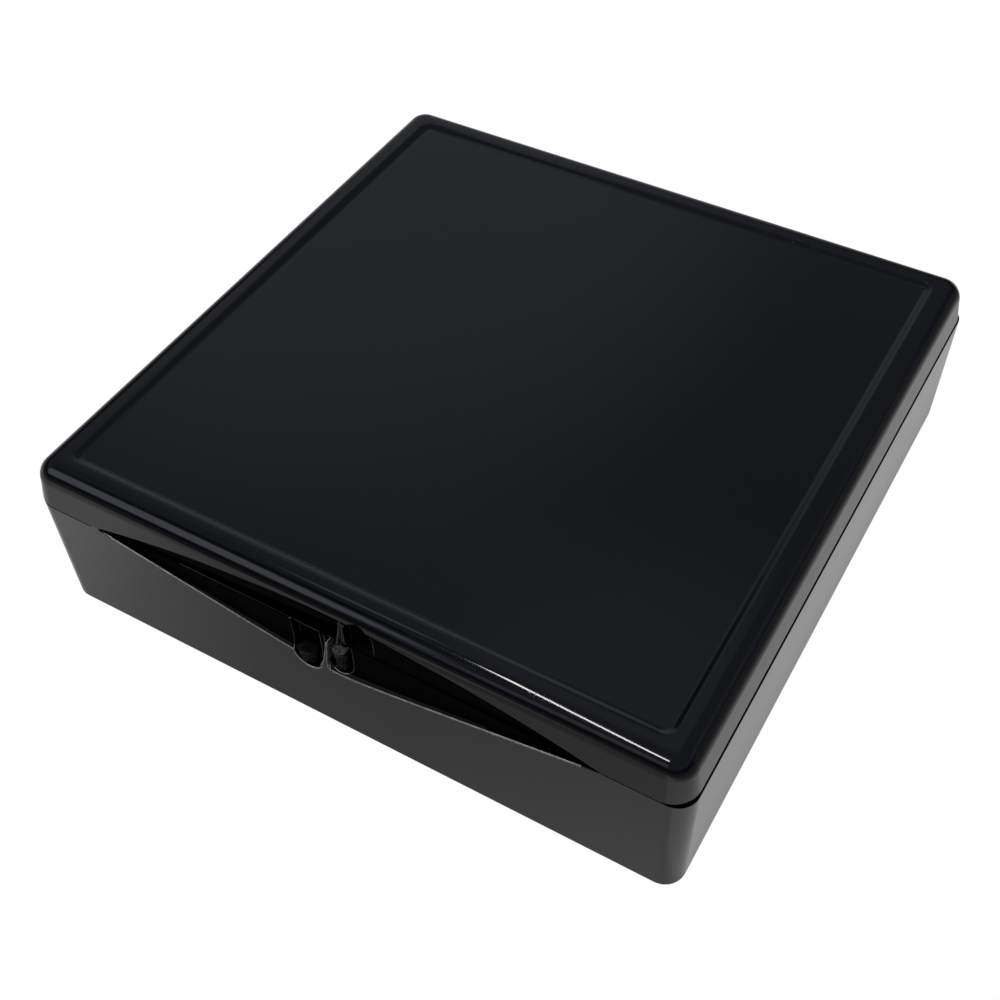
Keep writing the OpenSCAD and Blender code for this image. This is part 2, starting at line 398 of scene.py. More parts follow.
def hairlines(shader, scale, turn, share):
    """A mask of fine scratches that run one way, broken into short lengths."""
    along = shader.stretch((scale, scale * 0.02, scale * 0.02), (0, 0, math.radians(turn)))
    lines = shader.noise(1.0, 2.0, 0.4, at=along)
    thin = shader.remap(lines, 0.5 - share, 0.5 + share, 0.0, 1.0)
    ridge = shader.math("SUBTRACT", 1.0, shader.math("ABSOLUTE", shader.math("SUBTRACT", thin, 0.5)))
    patches = shader.remap(shader.noise(90.0, 2.0), 0.52, 0.68, 0.0, 1.0)
    return shader.math("MULTIPLY", shader.remap(ridge, 0.9, 1.0, 0.0, 1.0), patches)


def black_styrene():
    """Glossy black moulded styrene: faint flow waves, fine scuffs and a little dust."""
    s = Shader("black_styrene")
    dust = specks(s, 120.0, 0.018, 0.12)
    cloud = s.noise(35.0, 4.0, 0.6)
    scuffs = s.math("MAXIMUM", hairlines(s, 2600.0, 24.0, 0.02), hairlines(s, 2200.0, -57.0, 0.02))
    tone = s.mix(cloud, (0.0012, 0.0013, 0.0015, 1), (0.0022, 0.0023, 0.0026, 1))
    tone = s.mix(dust, tone, (0.35, 0.34, 0.32, 1))
    rough = s.remap(cloud, 0.3, 0.7, 0.035, 0.065)
    rough = s.math("ADD", rough, s.math("MULTIPLY", scuffs, 0.16))
    rough = s.math("MAXIMUM", rough, s.math("MULTIPLY", dust, 0.8))
    waves = s.bump(s.noise(55.0, 2.0, 0.4), 0.05, 0.0005)
    grain = s.bump(s.noise(2400.0, 2.0, 0.6), 0.03, 0.00002, waves)
    marks = s.bump(scuffs, 0.1, 0.00002, grain)
    return s.set(Base_Color=tone, Roughness=rough, Normal=marks, IOR=1.56)


def recess_painted_shade():
    """The wall inside the finger notch and the gate pockets: unpolished, and near black with almost no gloss,
    which is painted shade for the dark of the recesses.
    """
    s = Shader("recess_painted_shade")
    spark = s.noise(1800.0, 4.0, 0.65)
    share = s.remap(spark, 0.35, 0.65, 0.0, 1.0)
    tone = s.mix(share, (0.0001, 0.0001, 0.0001, 1), (0.0005, 0.0005, 0.0006, 1))
    return s.set(Base_Color=tone, Roughness=s.remap(spark, 0.35, 0.65, 0.4, 0.6),
                 Normal=s.bump(spark, 0.4, 0.00005), Specular_IOR_Level=0.01)


def ledge_styrene():
    """The dull floor of the finger notch."""
    s = Shader("ledge_styrene")
    spark = s.noise(900.0, 4.0, 0.65)
    share = s.remap(spark, 0.35, 0.65, 0.0, 1.0)
    tone = s.mix(share, (0.0010, 0.0010, 0.0012, 1), (0.0030, 0.0031, 0.0034, 1))
    return s.set(Base_Color=tone, Roughness=s.remap(spark, 0.35, 0.65, 0.42, 0.58),
                 Normal=s.bump(spark, 0.3, 0.00005), Specular_IOR_Level=0.2)


def torn_styrene():
    """The dull grey face that a broken gate leaves."""
    s = Shader("torn_styrene")
    grit = s.noise(2600.0, 5.0, 0.7)
    tone = s.mix(s.remap(grit, 0.35, 0.7, 0.0, 1.0), (0.008, 0.008, 0.009, 1), (0.055, 0.055, 0.058, 1))
    relief = s.bump(grit, 0.8, 0.0001)
    return s.set(Base_Color=tone, Roughness=s.remap(grit, 0.3, 0.7, 0.35, 0.75), Normal=relief, IOR=1.56)


def bright_edge():
    """A thin pale line painted on the notch's moulded edges and on the base's cusp: a painted highlight."""
    s = Shader("bright_edge")
    grit = s.noise(1400.0, 4.0, 0.6)
    tone = s.mix(s.remap(grit, 0.35, 0.65, 0.0, 1.0), (0.09, 0.092, 0.095, 1), (0.17, 0.173, 0.178, 1))
    return s.set(Base_Color=tone, Roughness=s.remap(grit, 0.3, 0.7, 0.3, 0.5), IOR=1.56)


def satin_styrene():
    """The deck's finely sparked black surface."""
    s = Shader("satin_styrene")
    spark = s.noise(1500.0, 4.0, 0.65)
    dust = specks(s, 260.0, 0.03, 0.18)
    tone = s.mix(s.noise(60.0, 3.0), (0.0075, 0.0075, 0.008, 1), (0.013, 0.013, 0.0135, 1))
    tone = s.mix(dust, tone, (0.55, 0.42, 0.33, 1))
    relief = s.bump(spark, 0.35, 0.00006)
    return s.set(Base_Color=tone, Roughness=s.remap(spark, 0.35, 0.65, 0.34, 0.5), Normal=relief, IOR=1.56)


def drawn_steel():
    s = Shader("drawn_steel")
    lines = s.noise(1.0, 3.0, 0.6, at=s.stretch((60.0, 9000.0, 9000.0)))
    tone = s.mix(lines, (0.42, 0.42, 0.43, 1), (0.62, 0.62, 0.63, 1))
    return s.set(Base_Color=tone, Metallic=1.0, Roughness=s.remap(lines, 0.3, 0.7, 0.22, 0.4),
                 Normal=s.bump(lines, 0.15, 0.00002))


def pressed_aluminium():
    s = Shader("pressed_aluminium")
    grain = s.noise(1800.0, 4.0, 0.6)
    tone = s.mix(s.noise(80.0, 3.0), (0.72, 0.72, 0.73, 1), (0.84, 0.84, 0.85, 1))
    return s.set(Base_Color=tone, Metallic=1.0, Roughness=s.remap(grain, 0.3, 0.7, 0.24, 0.42),
                 Normal=s.bump(grain, 0.2, 0.00003))


def pressed_powder():
    s = Shader("pressed_powder")
    grain = s.noise(2400.0, 6.0, 0.7)
    cloud = s.noise(120.0, 4.0, 0.6)
    tone = s.mix(cloud, (0.56, 0.35, 0.235, 1), (0.64, 0.42, 0.29, 1))
    tone = s.mix(s.remap(grain, 0.55, 0.75, 0.0, 0.5), tone, (0.74, 0.54, 0.41, 1))
    return s.set(Base_Color=tone, Roughness=0.92, Normal=s.bump(grain, 0.5, 0.00008), Sheen_Weight=0.25,
                 Sheen_Roughness=0.6)


def velour():
    """Short cotton pile with a brushed nap."""
    s = Shader("velour")
    pile = s.noise(3200.0, 5.0, 0.75)
    nap = s.noise(160.0, 4.0, 0.6, 1.5)
    tone = s.mix(nap, (0.66, 0.49, 0.40, 1), (0.80, 0.65, 0.55, 1))
    tone = s.mix(s.remap(pile, 0.3, 0.6, 0.0, 1.0), (0.55, 0.39, 0.31, 1), tone)
    fuzz = s.bump(pile, 0.9, 0.00025)
    brushed = s.bump(nap, 0.35, 0.0004, fuzz)
    return s.set(Base_Color=tone, Roughness=0.95, Normal=brushed, Sheen_Weight=0.7, Sheen_Roughness=0.45,
                 Sheen_Tint=(1.0, 0.93, 0.87, 1))


def open_foam():
    s = Shader("open_foam")
    cells = s.node("ShaderNodeTexVoronoi")
    cells.inputs["Scale"].default_value = 1800.0
    s.link(s.place(), cells.inputs["Vector"])
    depth = s.remap(cells.outputs["Distance"], 0.0, 0.7, 0.0, 1.0)
    # Darker towards each cell's middle, where the bump sinks it: painted shade in the pores.
    tone = s.mix(depth, (0.30, 0.26, 0.2, 1), (0.78, 0.71, 0.58, 1))
    return s.set(Base_Color=tone, Roughness=0.9, Normal=s.bump(depth, 0.8, 0.0002))


def woven(name, dark, light, threads, sheen, glossy):
    """A plain weave whose over and under threads come from two crossed waves."""
    s = Shader(name)
    parts = s.node("ShaderNodeSeparateXYZ")
    s.link(s.place(), parts.inputs["Vector"])
    wave_x = s.math("SINE", s.math("MULTIPLY", parts.outputs["X"], threads))
    wave_y = s.math("SINE", s.math("MULTIPLY", parts.outputs["Y"], threads))
    weave = s.remap(s.math("MULTIPLY", wave_x, wave_y), -1.0, 1.0, 0.0, 1.0)
    slub = s.noise(420.0, 4.0, 0.6)
    tone = s.mix(s.math("MULTIPLY", weave, s.remap(slub, 0.3, 0.7, 0.7, 1.0)), dark, light)
    relief = s.bump(weave, 0.45, 0.00006)
    relief = s.bump(slub, 0.15, 0.0002, relief)
    return s.set(Base_Color=tone, Roughness=s.remap(slub, 0.3, 0.7, glossy, glossy + 0.15),
                 Normal=relief, Sheen_Weight=sheen, Sheen_Roughness=0.35)


def silvered_glass():
    s = Shader("silvered_glass")
    smear = s.noise(90.0, 5.0, 0.6, 0.8)
    dust = specks(s, 190.0, 0.016, 0.2)
    rough = s.math("ADD", s.remap(smear, 0.55, 0.75, 0.004, 0.03), s.math("MULTIPLY", dust, 0.5))
    tone = s.mix(dust, (0.90, 0.92, 0.915, 1), (0.7, 0.62, 0.55, 1))
    return s.set(Base_Color=tone, Metallic=1.0, Roughness=rough)


def ground_glass():
    """The mirror's ground edge."""
    s = Shader("ground_glass")
    grit = s.noise(2200.0, 4.0, 0.6)
    tone = s.mix(grit, (0.34, 0.46, 0.42, 1), (0.56, 0.68, 0.64, 1))
    return s.set(Base_Color=tone, Roughness=s.remap(grit, 0.3, 0.7, 0.25, 0.5),
                 Normal=s.bump(grit, 0.3, 0.00003), IOR=1.52)


def clear_film():
    s = Shader("clear_film")
    haze = s.noise(140.0, 4.0, 0.6)
    return s.set(Base_Color=(0.97, 0.98, 0.98, 1), Roughness=s.remap(haze, 0.3, 0.7, 0.05, 0.14),
                 Transmission_Weight=1.0, IOR=1.45, Normal=s.bump(haze, 0.2, 0.0003))


def foam_pad():
    s = Shader("foam_pad")
    cells = s.noise(1700.0, 4.0, 0.7)
    tone = s.mix(cells, (0.46, 0.45, 0.41, 1), (0.68, 0.67, 0.62, 1))
    return s.set(Base_Color=tone, Roughness=0.88, Normal=s.bump(cells, 0.6, 0.00012))


def paint(obj, *materials):
    obj.data.materials.clear()
    for material in materials:
        obj.data.materials.append(material)
    return obj


STYRENE = black_styrene()
RECESS_SHADE = recess_painted_shade()
LEDGE = ledge_styrene()
TORN = torn_styrene()
EDGE_HIGHLIGHT_PAINT = bright_edge()
SATIN_STYRENE = satin_styrene()
STEEL = drawn_steel()
ALUMINIUM = pressed_aluminium()
POWDER = pressed_powder()
VELOUR = velour()
FOAM = open_foam()
SATIN = woven("satin_back", (0.58, 0.44, 0.36, 1), (0.80, 0.67, 0.58, 1), 11000.0, 0.3, 0.38)
RIBBON = woven("satin_ribbon", (0.62, 0.47, 0.39, 1), (0.88, 0.75, 0.66, 1), 14000.0, 0.45, 0.26)
SILVER = silvered_glass()
GROUND = ground_glass()
FILM = clear_film()
PAD = foam_pad()


# ---------------------------------------------------------------- features that both halves share
def quarter(steps, start=0):
    """Angles over a quarter turn, in radians."""
    return [math.pi / 2 * i / steps for i in range(start, steps + 1)]


def knuckle_span(i):
    length = BARREL / KNUCKLES
    x0 = -BARREL / 2 + i * length
    return x0 + KNUCKLE_GAP / 2, x0 + length - KNUCKLE_GAP / 2


def knuckle_rods(of_base, radius, extra=0.0):
    rods = []
    for i in range(KNUCKLES):
        if (i % 2 == 0) == of_base:
            x0, x1 = knuckle_span(i)
            rods.append(rod_x("knuckle", x0 - extra, x1 + extra, HINGE.y, HINGE.z, radius))
    return rods


def pocket_outline(x, z, r, z_end, steps=28):
    """A round-ended slot that runs from (x, z) up or down to z_end."""
    side = 1 if z_end > z else -1
    arc = [(x - r * math.cos(math.pi * i / steps), z - side * r * math.sin(math.pi * i / steps))
           for i in range(steps + 1)]
    return arc + [(x + r, z_end), (x - r, z_end)]


def notch_drop(x):
    """How far the base's notch edge lies below the seam: two straight flanks, blended."""
    span = NOTCH_SLOPE * NOTCH_HALF
    return math.hypot(APEX_BLEND, span) - math.hypot(APEX_BLEND, NOTCH_SLOPE * x)


def base_scoop():
    """The base's notch: its floor curves up into the set-back wall, more so near the middle."""
    reach = 1 * MM
    lift = 0.25 * MM
    lift_more = 2.4 * MM
    steps = 48
    curve = quarter(4)
    rings = []
    for i in range(steps + 1):
        x = NOTCH_HALF * (2 * i / steps - 1)
        low = SEAM_Z - notch_drop(x)
        rise = lift + lift_more * (1 - abs(x) / NOTCH_HALF) ** 1.5
        section = [(FRONT_Y - reach, low)]
        section += [(FRONT_Y + NOTCH_SET * math.sin(a), low + rise * (1 - math.cos(a))) for a in curve]
        section += [(FRONT_Y + NOTCH_SET, SEAM_Z + reach + rise), (FRONT_Y - reach, SEAM_Z + reach + rise)]
        rings.append([Vector((x, y, z)) for y, z in section])
    scoop = paint(loft("scoop", rings), LEDGE, RECESS_SHADE)
    # Faces deeper in than the ledge, and the flanks beyond LEDGE_HALF, take the recess material: painted
    # shade.
    for face in scoop.data.polygons:
        if face.center.y > FRONT_Y + 0.8 * NOTCH_SET or abs(face.center.x) > LEDGE_HALF:
            face.material_index = 1
    return scoop


def lid_arc():
    """The lid's notch: one shallow arc."""
    steps = 48
    radius = (NOTCH_HALF ** 2 + NOTCH_RISE ** 2) / (2 * NOTCH_RISE)
    centre = SEAM_Z + NOTCH_RISE - radius
    half = math.asin(NOTCH_HALF / radius)
    turns = [half * (2 * i / steps - 1) for i in range(steps + 1)]
    arc = [(radius * math.sin(turn), centre + radius * math.cos(turn)) for turn in turns]
    return arc + [(NOTCH_HALF, SEAM_Z - 1 * MM), (-NOTCH_HALF, SEAM_Z - 1 * MM)]


def rib(name, outline, finish_or_highlight):
    """An upright rib that stands in the notch, from an outline in millimetres."""
    place = Vector((0, FRONT_Y + 0.06 * MM, 0))
    blade = prism(name, [(x * MM, z * MM) for x, z in outline], place, Vector((1, 0, 0)), Vector((0, 0, 1)),
                  Vector((0, 1, 0)), POCKET_SET + 0.5 * MM)
    return paint(blade, finish_or_highlight)


def torn_stub(name, place, height, radius, wide, rough, seed, face):
    """A broken gate: a ragged dull peg whose torn end is painted face."""
    rng = random.Random(seed)
    steps, levels = 32, 14
    rings = []
    for k in range(levels + 1):
        t = k / levels
        ring = []
        for i in range(steps):
            a = math.tau * i / steps
            p = Vector((math.cos(a), math.sin(a), 0))
            lumps = noise.noise(Vector((p.x * 2.2 + seed, p.y * 2.2, t * 5.0))) + 0.3 * (rng.random() - 0.5)
            out = radius * (1 - rough * (1 - t ** 4) * (0.45 + lumps))
            ring.append(place + Vector((p.x * out * wide, p.y * out, height * t)))
        rings.append(ring)
    middle = sum(rings[-1], Vector()) / steps
    for share, sink in ((0.9, 0.04), (0.6, 0.02), (0.25, 0.0)):
        grit = [Vector((0, 0, sink * MM + 0.06 * radius * noise.noise(p * 2600.0))) for p in rings[levels]]
        rings.append([middle + (p - middle) * share + bump for p, bump in zip(rings[levels], grit)])
    stub = paint(loft(name, rings), LEDGE, face)
    for part in stub.data.polygons:
        if part.center.z > place.z + 0.98 * height:
            part.material_index = 1
    return smooth(stub, 45.0)


def darken_seam(shell, z):
    """Gives the rounded edge between a height and the seam the recess material, a painted shade line, so that
    the seam reads dark.
    """
    # The slot of the recess material, whose near black is painted shade.
    dull = shell.data.materials.find(RECESS_SHADE.name)
    for face in shell.data.polygons:
        near_seam = min(z, SEAM_Z) < face.center.z < max(z, SEAM_Z + SEAM_GAP)
        if near_seam and abs(face.normal.z) > 0.05 and face.material_index == 0:
            face.material_index = dull
    return shell


# ---------------------------------------------------------------- base
def base_moulding():
    rings = []
    for a in quarter(4):
        inset = BASE_DRAFT + BOTTOM_EASE * (1 - math.sin(a))
        rings.append(rounded_ring(BASE_W - 2 * inset, BASE_D - 2 * inset, BASE_CORNER - inset + BASE_DRAFT,
                                  BOTTOM_EASE * (1 - math.cos(a))))
    for a in quarter(4):
        inset = SEAM_ROUND * (1 - math.cos(a))
        rings.append(rounded_ring(BASE_W - 2 * inset, BASE_D - 2 * inset, BASE_CORNER - inset,
                                  SEAM_Z - SEAM_ROUND * (1 - math.sin(a))))
    # The halves never close quite true: the base's outside stands a hair to the right of the lid's.
    rings = [[p + BASE_SHIFT for p in ring] for ring in rings]
    lip_w, lip_d = BASE_W - 2 * LIP_T, BASE_D - 2 * LIP_T
    rings.append(rounded_ring(lip_w, lip_d, BASE_CORNER - LIP_T, SEAM_Z))
    rings.append(rounded_ring(lip_w, lip_d, BASE_CORNER - LIP_T, SEAM_Z - LIP_H))
    inner_w, inner_d = CASE_W - 2 * WALL, CASE_D - 2 * WALL
    rings.append(rounded_ring(inner_w, inner_d, INNER_CORNER, SEAM_Z - LIP_H))
    fillet = 0.6 * MM
    for a in quarter(4):
        inset = fillet * (1 - math.cos(a))
        rings.append(rounded_ring(inner_w - 2 * inset, inner_d - 2 * inset, INNER_CORNER - inset,
                                  WALL + fillet * (1 - math.sin(a))))
    shell = paint(loft("base_moulding", rings), STYRENE)
    ledge = SEAM_Z - LIP_H
    boss = block("boss", Vector((-BOSS_HALF, FRONT_Y + 1 * MM, WALL / 2)),
                 Vector((BOSS_HALF, FRONT_Y + BOSS_IN, ledge - 0.001 * MM)))
    beam = block("beam", Vector((-BARREL / 2 - 1 * MM, BACK_Y - BOSS_IN, ledge - RIB_H)),
                 Vector((BARREL / 2 + 1 * MM, BACK_Y - 1 * MM, ledge - 0.001 * MM)))
    combine(shell, [boss, beam] + knuckle_rods(True, KNUCKLE_R), "UNION")
    scoop = base_scoop()
    pocket = front_prism("gate_pocket", pocket_outline(*BASE_GATE, POCKET_R, SEAM_Z + 3 * MM), POCKET_SET)
    room = front_prism("stub_room", pocket_outline(*ROOM, ROOM_R, SEAM_Z + 3 * MM), POCKET_SET + 0.2 * MM)
    # The pockets' walls take the recess material: painted shade.
    combine(scoop, [paint(pocket, RECESS_SHADE), paint(room, RECESS_SHADE)], "UNION")
    # The cusp's faces, cut by the rib, take the pale painted highlight.
    combine(scoop, [rib("cusp", CUSP, EDGE_HIGHLIGHT_PAINT)], "DIFFERENCE")
    bore = rod_x("bore", -BARREL / 2 - 1 * MM, BARREL / 2 + 1 * MM, HINGE.y, HINGE.z, PIN_R)
    combine(shell, [scoop, bore] + knuckle_rods(False, RELIEF_R, KNUCKLE_GAP / 2), "DIFFERENCE")
    # A slot of its own for the painted highlight on the eased edges, which tells them from the cusp's own
    # faces.
    shell.data.materials.append(EDGE_HIGHLIGHT_PAINT)
    highlight_slot = len(shell.data.materials) - 1
    ease_edges(shell, EDGE, finish_or_highlight=highlight_slot)
    # Only the eased edges along the notch's lower edge, and along the seam left of the base's gate, keep the
    # pale painted highlight; the rest go back to the black styrene.
    for face in shell.data.polygons:
        c = face.center
        by_seam = c.z > SEAM_Z - 0.2 * MM and c.y < FRONT_Y + WALL and -NOTCH_HALF < c.x < BASE_GATE[0]
        on_notch = c.y < FRONT_Y + 0.4 * MM and abs(c.x) < NOTCH_HALF and c.z < SEAM_Z - 0.6 * MM
        if face.material_index == highlight_slot and not (by_seam or on_notch):
            face.material_index = 0
    return darken_seam(shell, SEAM_Z - 0.5 * SEAM_ROUND)


# ---------------------------------------------------------------- lid
def lid_moulding():
    rings = []
    for i in range(13):
        t = i / 12
        inset = PANEL_BORDER + STEP_SPREAD * (1 - 2 * t)
        rings.append(rounded_ring(CASE_W - 2 * inset, CASE_D - 2 * inset, STEP_SPREAD * (1.0 + 2 * t),
                                  TOP_Z - PANEL_SINK * (1 + math.cos(math.pi * t)) / 2))
    for a in quarter(ROUND_STEPS):
        inset = LID_LEAN + LID_ROUND * (1 - math.sin(a))
        rings.append(rounded_ring(CASE_W - 2 * inset, CASE_D - 2 * inset, max(LID_CORNER - inset, 0.4 * MM),
                                  TOP_Z - LID_ROUND * (1 - math.cos(a))))
    for a in quarter(3):
        inset = SEAM_ROUND * (1 - math.cos(a))
        rings.append(rounded_ring(CASE_W - 2 * inset, CASE_D - 2 * inset, LID_CORNER - inset,
                                  SEAM_Z + SEAM_GAP + SEAM_ROUND * (1 - math.sin(a))))
    set_in = LIP_T + LIP_GAP + (CASE_W - BASE_W) / 2
    tongue_w, tongue_d = CASE_W - 2 * set_in, CASE_D - 2 * set_in
    tongue_z = SEAM_Z - LIP_H + SEAM_GAP
    rings.append(rounded_ring(tongue_w, tongue_d, BASE_CORNER - LIP_T - LIP_GAP, SEAM_Z + SEAM_GAP))
    rings.append(rounded_ring(tongue_w, tongue_d, BASE_CORNER - LIP_T - LIP_GAP, tongue_z))
    inner_w, inner_d = CASE_W - 2 * WALL, CASE_D - 2 * WALL
    ceiling = TOP_Z - PANEL_SINK - TOP_T
    rings.append(rounded_ring(inner_w, inner_d, INNER_CORNER, tongue_z))
    fillet = 0.5 * MM
    for a in quarter(4):
        inset = fillet * (1 - math.cos(a))
        rings.append(rounded_ring(inner_w - 2 * inset, inner_d - 2 * inset, INNER_CORNER - inset,
                                  ceiling - fillet * (1 - math.sin(a))))
    shell = paint(loft("lid_moulding", rings), STYRENE)
    boss = block("boss", Vector((-BOSS_HALF, FRONT_Y + 1 * MM, tongue_z + 0.001 * MM)),
                 Vector((BOSS_HALF, FRONT_Y + BOSS_IN, ceiling + 0.2 * MM)))
    beam = block("beam", Vector((-BARREL / 2 - 1 * MM, BACK_Y - BOSS_IN, tongue_z + 0.001 * MM)),
                 Vector((BARREL / 2 + 1 * MM, BACK_Y - 1 * MM, ceiling + 0.2 * MM)))
    combine(shell, [boss, beam] + knuckle_rods(False, KNUCKLE_R) + stop_fins(), "UNION")
    # The notch's and the pocket's walls take the recess material: painted shade.
    notch = paint(front_prism("notch", lid_arc(), NOTCH_SET), RECESS_SHADE)
    pocket = front_prism("gate_pocket", pocket_outline(*LID_GATE, POCKET_R, SEAM_Z - 2 * MM), POCKET_SET)
    combine(notch, [paint(pocket, RECESS_SHADE)], "UNION")
    combine(notch, [rib("lid_fin", FIN, STYRENE)], "DIFFERENCE")
    bores = knuckle_rods(False, PIN_R + PIN_RUN, 1 * MM)
    combine(shell, [notch] + bores + knuckle_rods(True, RELIEF_R, KNUCKLE_GAP / 2), "DIFFERENCE")
    return darken_seam(ease_edges(shell, EDGE), SEAM_Z + SEAM_GAP + 0.5 * SEAM_ROUND)


def stop_fins():
    """Fins on the lid's knuckles that meet the base's back wall when the lid is fully open."""
    start = math.radians(STOP_AT)
    out = Vector((0, math.cos(start), math.sin(start)))
    up = Vector((0, -math.sin(start), math.cos(start)))
    outline = ((0, 0), (STOP_R, 0), (STOP_R, STOP_T), (0, STOP_T))
    fins = []
    for i in range(1, KNUCKLES, 2):
        x0, x1 = knuckle_span(i)
        root = Vector((x0, HINGE.y, HINGE.z))
        fins.append(prism("stop", outline, root, out, up, Vector((1, 0, 0)), x1 - x0))
    return fins


# ---------------------------------------------------------------- tray, pan and powder
def relief_ring(radius, z):
    """A ring of the thumb relief, which lies towards the front right corner."""
    return round_ring(radius, z, 64, RELIEF_PLACE, -RELIEF_PLACE)


def tray_moulding():
    deck_w, deck_d = TRAY_HI.x - TRAY_LO.x, TRAY_HI.y - TRAY_LO.y
    skirt = 1 * MM
    skirt_z = TRAY_HI.z - 5 * MM
    under = TRAY_HI.z - DECK_T
    rings = [rounded_ring(deck_w - 2 * skirt, deck_d - 2 * skirt, INNER_CORNER - skirt / 2, under),
             rounded_ring(deck_w - 2 * skirt, deck_d - 2 * skirt, INNER_CORNER - skirt / 2, skirt_z),
             rounded_ring(deck_w, deck_d, INNER_CORNER, skirt_z),
             rounded_ring(deck_w, deck_d, INNER_CORNER, TRAY_HI.z - 0.3 * MM),
             rounded_ring(deck_w - 0.18 * MM, deck_d - 0.18 * MM, INNER_CORNER, TRAY_HI.z - 0.09 * MM),
             rounded_ring(deck_w - 0.6 * MM, deck_d - 0.6 * MM, INNER_CORNER - 0.2 * MM, TRAY_HI.z)]
    tray = loft("tray_moulding", rings)
    steps = 160
    tube = loft("tube", [round_ring(WELL_R + WELL_WALL, TRAY_LO.z, steps),
                         round_ring(WELL_R + WELL_WALL, TRAY_HI.z - 0.2 * MM, steps)])
    cup = loft("cup", [relief_ring(THUMB_R + WELL_WALL, THUMB_Z - DECK_T),
                       relief_ring(THUMB_R + WELL_WALL, TRAY_HI.z - 0.2 * MM)])
    combine(tray, [tube, cup], "UNION")
    mouth = 0.8 * MM
    profile = [round_ring(WELL_R, TRAY_LO.z - 1 * MM, steps), round_ring(WELL_R, TRAY_HI.z - mouth, steps)]
    profile += [round_ring(WELL_R + mouth * (1 - math.cos(a)), TRAY_HI.z - mouth * (1 - math.sin(a)), steps)
                for a in quarter(6, 1)]
    profile.append(round_ring(WELL_R + mouth, TRAY_HI.z + 1 * MM, steps))
    well = loft("well", profile)
    bowl = 2 * MM
    dish = [relief_ring(THUMB_R - bowl * (1 - math.sin(a)), THUMB_Z + bowl * (1 - math.cos(a)))
            for a in quarter(6)]
    dish += [relief_ring(THUMB_R + mouth * (1 - math.cos(a)), TRAY_HI.z - mouth * (1 - math.sin(a)))
             for a in quarter(6)]
    dish.append(relief_ring(THUMB_R + mouth, TRAY_HI.z + 1 * MM))
    thumb = loft("thumb", dish)
    gap = 0.35 * MM
    keyway = block("keyway", Vector((-BOSS_HALF - gap, FRONT_Y, 0)),
                   Vector((BOSS_HALF + gap, FRONT_Y + BOSS_IN + gap, TRAY_HI.z + 1 * MM)))
    combine(tray, [well, thumb, keyway], "DIFFERENCE")
    return ease_edges(tray, 0.06 * MM)


def pan_pressing():
    """A drawn pan with a rounded bottom corner and a rolled rim."""
    r, wall, bend = PAN_HI.x, 0.5 * MM, 0.9 * MM
    floor = PAN_LO.z
    profile = [(0, floor), (r - bend - 3 * MM, floor), (r - bend, floor)]
    profile += [(r - bend + bend * math.sin(a), floor + bend * (1 - math.cos(a))) for a in quarter(6, 1)]
    profile += [(r, PAN_HI.z - wall / 2)]
    profile += [(r - wall / 2 + wall / 2 * math.cos(2 * a), PAN_HI.z - wall / 2 + wall / 2 * math.sin(2 * a))
                for a in quarter(6, 1)]
    profile += [(r - wall, floor + wall + bend / 2), (r - wall - bend / 2, floor + wall), (0, floor + wall)]
    return smooth(lathe("pan_pressing", profile, 160))


def powder_block():
    """Pressed powder with a crowned top and an embossed basket weave inside a plain border."""
    r = CAKE_HI.x - 0.01 * MM
    edge = CAKE_HI.z - 0.25 * MM
    rings, steps = 72, 192
    pitch = 3.4 * MM
    bm = bmesh.new()
    rows = [[bm.verts.new((0, 0, CAKE_HI.z - 0.05 * MM))]]
    for k in range(1, rings + 1):
        radius = r * k / rings
        row = []
        for p in round_ring(radius, 0, steps):
            crown = 0.25 * MM * (1 - (radius / r) ** 2)
            turned = (p.x + p.y, p.x - p.y)
            u, v = turned[0] / pitch, turned[1] / pitch
            over = (math.floor(u) + math.floor(v)) % 2
            rib = abs(math.sin(math.pi * 3 * (u if over else v)))
            hem = min(1.0, max(0.0, (r * 0.9 - radius) / (0.6 * MM)))
            p.z = edge + crown - 0.05 * MM - 0.2 * MM * hem * (1 - rib)
            row.append(bm.verts.new(p))
        rows.append(row)
    rows.append([bm.verts.new(p) for p in round_ring(r, CAKE_LO.z, steps)])
    bm.faces.new(rows[-1])
    for low, high in zip(rows, rows[1:]):
        for i in range(steps):
            j = (i + 1) % steps
            if len(low) == 1:
                bm.faces.new((low[0], high[j], high[i]))
            else:
                bm.faces.new((low[i], low[j], high[j], high[i]))
    return smooth(mesh_object("powder_block", bm), 50.0)


def film_disc():
    """A clear film that lies on the pan's rim, with slight ripples."""
    r = FILM_HI.x
    top, bottom = [], []
    t = 0.04 * MM
    for k in range(25):
        radius = r * k / 24
        ripple = 0.02 * MM * math.sin(radius * 900.0)
        top.append((radius, FILM_HI.z - 0.02 * MM + ripple))
        bottom.append((radius, FILM_HI.z - 0.02 * MM + ripple - t))
    return smooth(lathe("film_disc", top + bottom[::-1], 128), 60.0)


# ---------------------------------------------------------------- puff
PUFF_R = FACE_HI.x
PUFF_SEAM_Z = FACE_HI.z - 0.4 * MM


def puff_blank(name):
    """The puff before its cover settles: a closed pad whose edge seam lies near its top."""
    low, high = FACE_LO.z + 0.1 * MM, BACK_HI.z - 0.2 * MM
    r = PUFF_R - 0.9 * MM
    seam_r = r - 1.2 * MM
    profile = [(0, low)]
    belly = PUFF_SEAM_Z - low
    profile += [(seam_r * t, low) for t in (0.2, 0.4, 0.6, 0.75, 0.87)]
    for a in quarter(6):
        profile.append((seam_r - 1.4 * MM + (r - seam_r + 1.4 * MM) * math.sin(a),
                        low + belly * 0.55 * (1 - math.cos(a))))
    profile += [(r - 0.35 * MM, low + belly * 0.8), (seam_r, PUFF_SEAM_Z)]
    for t in (0.9, 0.78, 0.62, 0.44, 0.24):
        profile.append((seam_r * t, PUFF_SEAM_Z + (high - PUFF_SEAM_Z) * (1 - t ** 2)))
    profile.append((0, high))
    return lathe(name, profile, 96)


